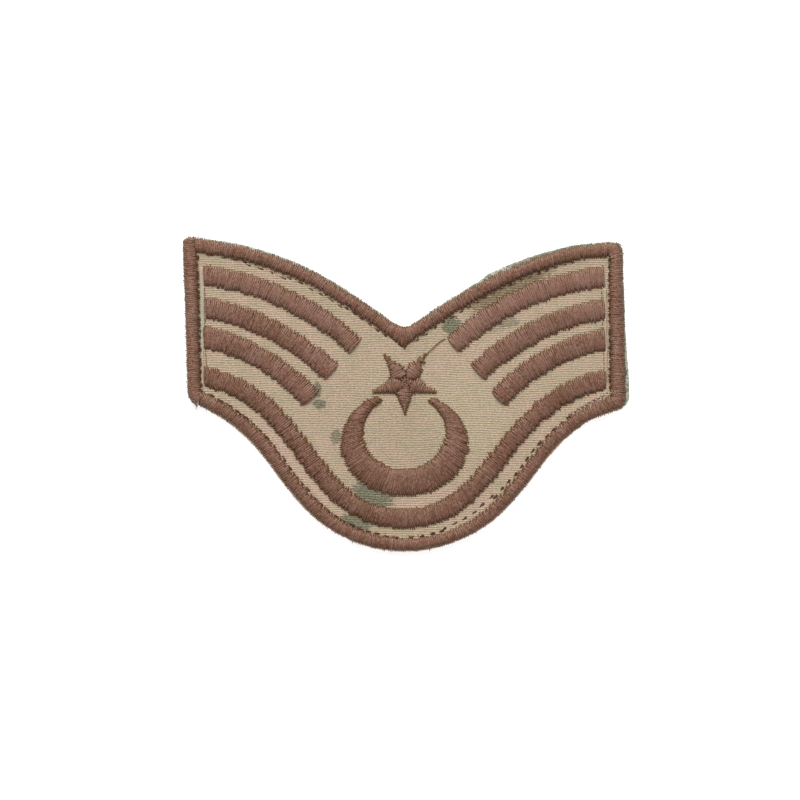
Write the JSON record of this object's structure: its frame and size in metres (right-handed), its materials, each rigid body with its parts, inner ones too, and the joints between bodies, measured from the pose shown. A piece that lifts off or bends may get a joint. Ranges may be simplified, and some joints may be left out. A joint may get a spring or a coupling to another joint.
{
  "type": "shoulder rank insignia",
  "caption": "Winged cloth rank patch with a satin-stitched border, curved bars, a band, a crescent and a star.",
  "frame": {"origin": "middle of the outline's box, on the back face that lies on a surface", "axes": "+X along the width, +Y towards the notch, +Z out of the stitched face"},
  "size_m": [0.1026, 0.0724, 0.0019],
  "materials": {
    "ground_cloth": "ribbed cotton, matt, tan with faint pink zones and a few soft grey-green blotches",
    "satin_thread": "brown embroidery thread, soft satin sheen across the stitches"
  },
  "bodies": {
    "root": {"ground_cloth": "ground_cloth", "border_top": "satin_thread", "border_right": "satin_thread", "border_bottom": "satin_thread", "border_left": "satin_thread", "bar_left_upper": "satin_thread", "bar_left_middle": "satin_thread", "bar_left_lower": "satin_thread", "bar_right_upper": "satin_thread", "bar_right_middle": "satin_thread", "bar_right_lower": "satin_thread", "band": "satin_thread", "crescent": "satin_thread", "star_arm_down": "satin_thread", "star_arm_left": "satin_thread", "star_arm_upper_left": "satin_thread", "star_arm_upper_right": "satin_thread", "star_arm_right": "satin_thread"}
  },
  "joints": []
}
